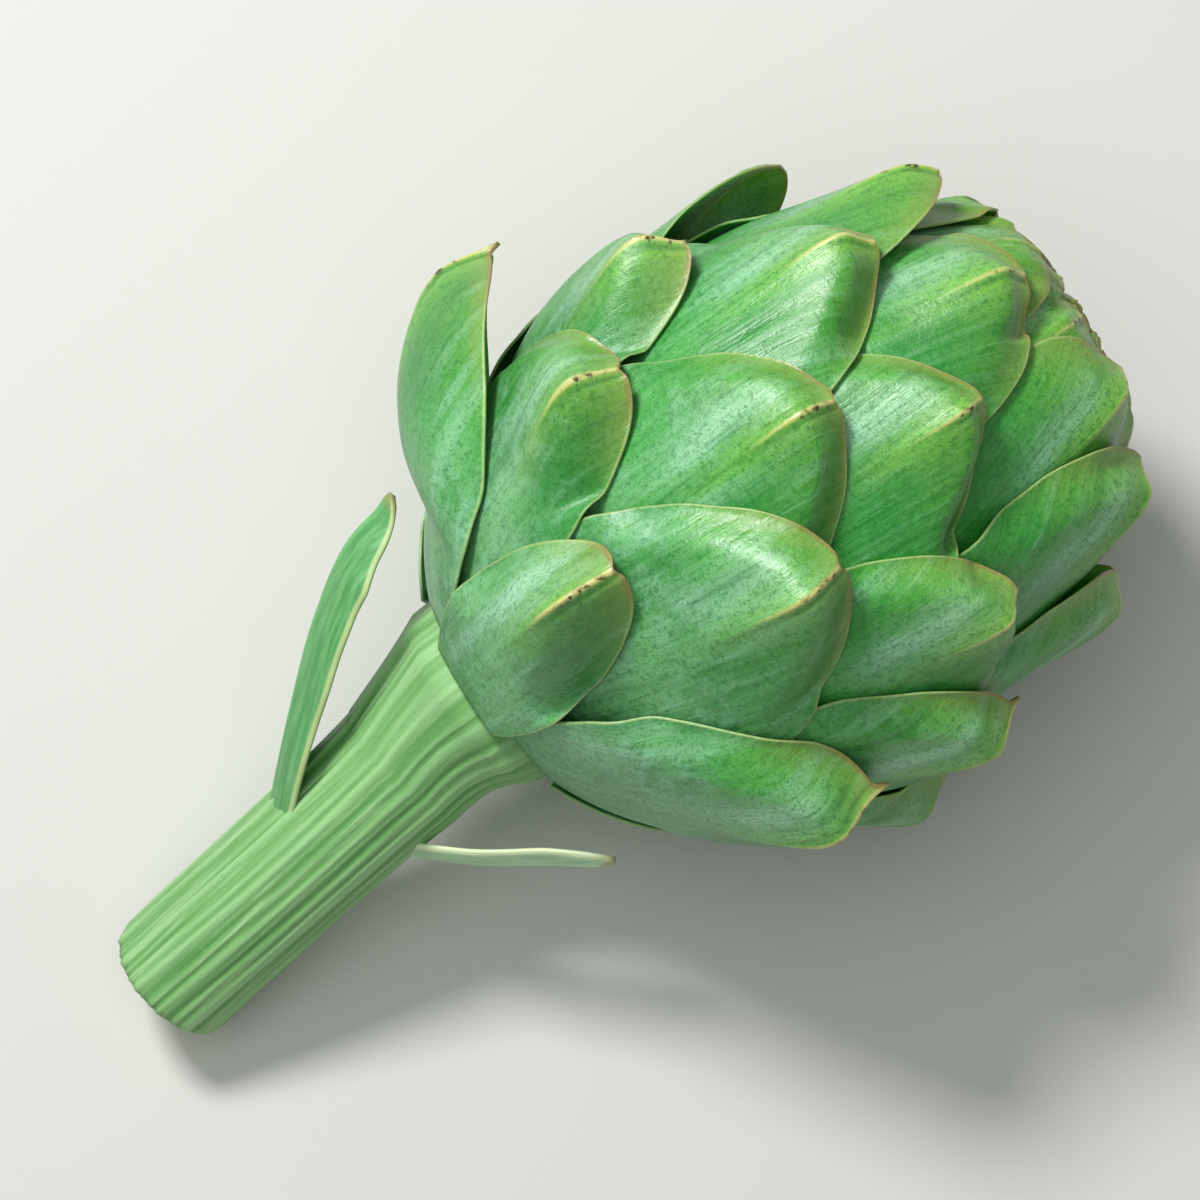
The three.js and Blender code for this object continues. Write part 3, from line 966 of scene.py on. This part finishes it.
# A small leaf: a cupped sheet with a midrib, laid along its path
def makeLeaf(name, form):
    points = np.array(form["path"], float)
    facing = np.array(form["back"], float)
    facing /= np.linalg.norm(facing)
    length = sum(np.linalg.norm(b - a) for a, b in zip(points, points[1:]))

    def place(mesh, column, down, side):
        across = spread(column)
        stations = np.unique(np.round(down, 6))
        table = []
        for share in stations:
            middle = pathPoint(points, share)
            ahead = pathPoint(points, min(share + 0.01, 1)) - pathPoint(points, max(share - 0.01, 0))
            ahead /= np.linalg.norm(ahead)
            out = facing - ahead * np.dot(facing, ahead)
            out /= np.linalg.norm(out)
            table.append((middle, ahead, out, np.cross(out, ahead)))
        found = np.searchsorted(stations, np.round(down, 6))
        middle, ahead, out, wide = (np.array([row[k] for row in table])[found] for k in range(4))
        outline = np.sqrt(np.minimum(down * smallLeaf["tipSharp"], 1)) * (1 - form["taper"] * down ** 2)
        margin = down * length + smallLeaf["otherSide"] * (across > 0)
        wave = 1 + smallLeaf["wave"] * waves(smallLeaf["waveSeed"], margin, smallLeaf["waveLengths"])
        # all the rows but the tip's, where the sheet closes to a line, have their full shape
        opened = np.minimum(outline * 2, 1)
        body = (1 - 0.6 * np.abs(across) ** 3 * opened) * form["thick"] * np.minimum(0.7 + down * 2, 1)
        rim = np.where(np.abs(side - 0.5) < 0.1, smallLeaf["rim"], 0)
        midrib = np.exp(-(across * form["halfWidth"] / smallLeaf["midribWidth"]) ** 2)
        midrib = midrib * smallLeaf["midribHeight"] * opened
        through = (0.5 - side) * body - form["cup"] * across ** 2 * outline
        through = through + midrib * (1 - side) + midrib * 0.6 * -side
        tipCurl = form["curl"] * np.exp(-(down * length / smallLeaf["curlLength"]) ** 2)
        sideways = across * form["halfWidth"] * outline * wave
        placed = middle + wide * (sideways + np.sign(across) * rim * outline)[:, None]
        placed = placed + out * (through + tipCurl)[:, None]
        setPoints(mesh, toPlace(placed))
        setField(mesh, "across", sideways)
        setField(mesh, "fromTip", down * length)
        setField(mesh, "fromEdge", form["halfWidth"] * outline * (1 - np.abs(across)))

    return sheetFrom(name, smallLeaf["columns"], smallLeaf["rows"], place)


# The leaf beside the head, from its tip to inside the stem, in the head's own frame
upperLeaf = {
    "path": [
        (18.4, -27.2, -40),
        (17.2, -25.4, -49),
        (13.4, -19.8, -59),
        (7.2, -11.6, -70),
        (-2.6, -1.6, -83),
    ],
    "back": (0.56, -0.83, 0),
    "halfWidth": 7.2,
    "thick": 1.5,
    "cup": 3.0,
    "taper": 0.25,
    "curl": 1.2,
    "deep": "34803d",
    "pale": "76b275",
    "rim": "b2c488",
}

# The pale leaf on the other side
lowerLeaf = {
    "path": [(-1, 31, -43), (-1.5, 25.6, -51), (-2.5, 20, -60), (-4, 11, -71)],
    "back": (0.1, 0.99, -0.3),
    "halfWidth": 3.4,
    "thick": 1.5,
    "cup": 0.9,
    "taper": 0.42,
    "curl": 0.0,
    "deep": "8db98a",
    "pale": "c4dbb8",
    "rim": "d5dfb6",
}

upper = makeLeaf("stemLeafUpper", upperLeaf)
finishPiece(upper, "stem_leaf_upper", "stem_leaf", leafMaterial("stemLeafSkin", upperLeaf))
lower = makeLeaf("stemLeafLower", lowerLeaf)
finishPiece(lower, "stem_leaf_lower", "stem_leaf_pale", leafMaterial("paleLeafSkin", lowerLeaf))
print("artichoke: stem leaves made")


# The plain surface it lies on, a soft studio light and the camera. A light's way is told to the right,
# up and towards the camera
studio = {
    "azimuth": -31.0,
    "elevation": 80.0,
    "lens": 150.0,
    "distance": 0.72,
    "aim": (0.004, 0.0, 0.045),
    "floor": "c6c5c1",
    "floorSize": 6,
    "floorRoughness": 0.8,
    "sky": (0.94, 1.0, 0.96, 1),
    "skyStrength": 0.2,
    "key": {"way": (-0.42, 0.68, 0.85), "distance": 0.85, "size": 0.22, "power": 8.0, "tint": (1, 1, 0.99)},
    "fill": {"way": (-0.1, 0.05, 1.0), "distance": 1.1, "size": 1.0, "power": 5.4, "tint": (0.95, 1, 0.97)},
}

deselectAll()
bpy.ops.mesh.primitive_plane_add(size=studio["floorSize"], location=(0, 0, 0))
floor = bpy.context.object
floor.name = "floor"
floorRecipe = Recipe("paleFloor")
floorRecipe.finish(colour(studio["floor"]), studio["floorRoughness"])
floor.data.materials.append(floorRecipe.material)

world = bpy.data.worlds.new("studio")
world.use_nodes = True
world.node_tree.nodes["Background"].inputs["Color"].default_value = studio["sky"]
world.node_tree.nodes["Background"].inputs["Strength"].default_value = studio["skyStrength"]
bpy.context.scene.world = world

azimuth, elevation = math.radians(studio["azimuth"]), math.radians(studio["elevation"])
level = math.cos(elevation)
back = Vector((math.sin(azimuth) * level, -math.cos(azimuth) * level, math.sin(elevation)))
right = Vector((math.cos(azimuth), math.sin(azimuth), 0))
above = back.cross(right)
aim = Vector(studio["aim"])


def addLight(name, form):
    data = bpy.data.lights.new(name, "AREA")
    data.shape = "DISK"
    data.size = form["size"]
    data.energy = form["power"]
    data.color = form["tint"]
    toRight, up, toCamera = form["way"]
    way = back * toCamera + right * toRight + above * up
    light = bpy.data.objects.new(name, data)
    light.location = aim + way.normalized() * form["distance"]
    light.rotation_mode = "QUATERNION"
    light.rotation_quaternion = way.to_track_quat("Z", "Y")
    bpy.context.scene.collection.objects.link(light)
    return light


addLight("keyLight", studio["key"])
fill = addLight("fillLight", studio["fill"])
fill.visible_glossy = False

cameraData = bpy.data.cameras.new("camera")
cameraData.lens = studio["lens"]
cameraData.dof.use_dof = False
camera = bpy.data.objects.new("camera", cameraData)
camera.location = aim + back * studio["distance"]
camera.rotation_mode = "QUATERNION"
camera.rotation_quaternion = (-back).to_track_quat("-Z", "Y")
bpy.context.scene.collection.objects.link(camera)
bpy.context.scene.camera = camera
bpy.context.scene.view_settings.view_transform = "Standard"
print("artichoke: studio set")
